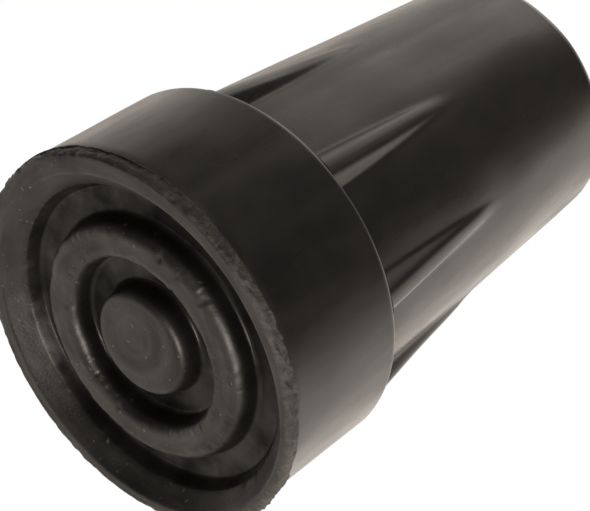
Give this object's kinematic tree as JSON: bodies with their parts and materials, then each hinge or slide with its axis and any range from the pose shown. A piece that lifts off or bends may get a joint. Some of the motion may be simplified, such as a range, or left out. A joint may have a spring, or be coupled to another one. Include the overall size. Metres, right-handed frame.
{
  "type": "rubber cane tip",
  "caption": "Moulded rubber tip for a walking cane: blind socket in a tapered ribbed body, wide collar below, and a tread of concentric rings.",
  "frame": {"origin": "centre of the tread's rim, on the floor", "axes": "+Z along the socket, from the tread to the mouth; a rib lies on each of +X, +Y, -X and -Y"},
  "size_m": [0.0364, 0.0364, 0.055],
  "materials": {
    "rubber": "satin black moulded rubber"
  },
  "bodies": {
    "root": {"tip": "rubber"}
  },
  "joints": []
}
